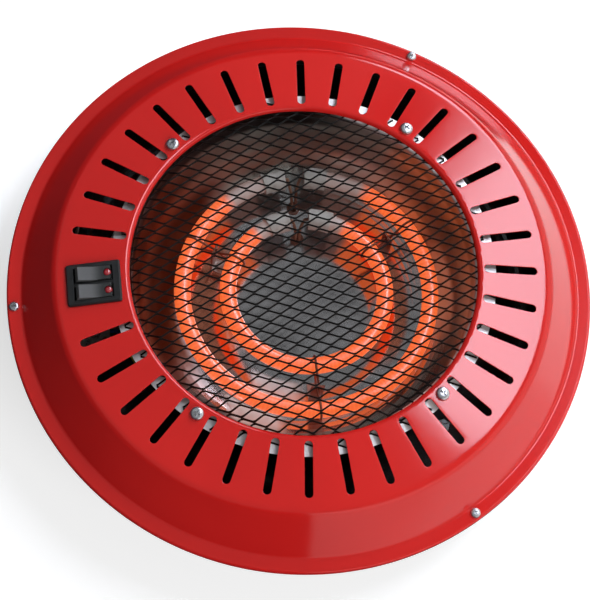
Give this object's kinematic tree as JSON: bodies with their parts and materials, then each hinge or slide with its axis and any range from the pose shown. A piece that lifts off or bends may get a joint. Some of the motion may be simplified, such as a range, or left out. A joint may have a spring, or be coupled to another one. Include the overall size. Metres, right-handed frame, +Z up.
{
  "type": "electric brazier",
  "caption": "Round electric brazier for under a table: slotted red cover, expanded-metal guard, quartz heating rings in a reflector bowl, base pan and a twin rocker switch.",
  "frame": {"origin": "on the floor, under the centre of the round body", "axes": "+Z up, -X towards the switch and the mains inlet"},
  "size_m": [0.35, 0.35, 0.0875],
  "materials": {
    "red_enamel": "glossy red enamel on pressed steel",
    "guard_black": "semi-gloss black heat-proof paint on expanded steel",
    "bright_steel": "polished bright steel, faintly drawn",
    "black_enamel": "black enamel on pressed steel, slightly orange-peeled",
    "zinc": "bright zinc plate",
    "holder_steel": "stainless steel strip and spring wire, heat-tinted",
    "quartz_glow": "milky quartz glowing orange, cooler towards its ends",
    "coil_wire": "resistance wire, hot",
    "white_ceramic": "unglazed steatite",
    "brown_ceramic": "brown glazed ceramic",
    "cutout_metal": "plain aluminium",
    "brass": "plain brass",
    "socket_sleeve": "natural nylon",
    "foot_rubber": "matt black rubber",
    "housing_plastic": "black moulded plastic, satin",
    "key_plastic": "black moulded plastic, semi-gloss",
    "pilot_red": "clear red plastic, lit",
    "inlet_plastic": "black nylon",
    "brown_sleeve": "brown glass-fibre sleeving",
    "brown_lead": "brown silicone",
    "blue_lead": "blue silicone",
    "earth_green": "green and yellow silicone"
  },
  "bodies": {
    "body": {"top_cover": "red_enamel", "guard_mesh": "guard_black", "reflector": "bright_steel", "base_pan": "black_enamel", "feet": "foot_rubber", "foot_screws": "zinc", "foot_nuts": "zinc", "guard_screws": "zinc", "guard_nuts": "zinc", "rim_screws": "zinc", "rim_nuts": "zinc", "outer_tube": "quartz_glow", "inner_tube": "quartz_glow", "outer_coil": "coil_wire", "inner_coil": "coil_wire", "outer_caps": "white_ceramic", "inner_caps": "white_ceramic", "lead_bushings": "brown_ceramic", "holder_posts": "holder_steel", "holder_wires": "holder_steel", "holder_rivets": "holder_steel", "outer_ring_leads": "brown_sleeve", "inner_ring_leads": "brown_sleeve", "supply_leads": "brown_lead", "lamp_leads": "blue_lead", "earth_lead": "earth_green", "switch_housing": "housing_plastic", "switch_blades": "brass", "blade_sockets": "socket_sleeve", "cord_gland": "inlet_plastic", "gland_nut": "inlet_plastic", "terminal_block": "white_ceramic", "terminal_inserts": "brass", "terminal_screws": "zinc", "block_screws": "zinc", "cutout_bracket": "zinc", "cutout_cap": "cutout_metal", "cutout_body": "brown_ceramic", "cutout_blades": "brass", "cutout_screws": "zinc", "earth_screw": "zinc"},
    "outer_key": {"outer_rocker": "key_plastic", "outer_lens": "pilot_red"},
    "inner_key": {"inner_rocker": "key_plastic", "inner_lens": "pilot_red"}
  },
  "joints": [
    {"name": "outer_key_tilt", "type": "hinge", "parent": "body", "child": "outer_key", "pos_m": [-0.12255, 0.00545, 0.08039], "axis": [0, -1, 0], "range_deg": [0, 16]},
    {"name": "inner_key_tilt", "type": "hinge", "parent": "body", "child": "inner_key", "pos_m": [-0.12255, -0.00545, 0.08039], "axis": [0, -1, 0], "range_deg": [0, 16]}
  ]
}
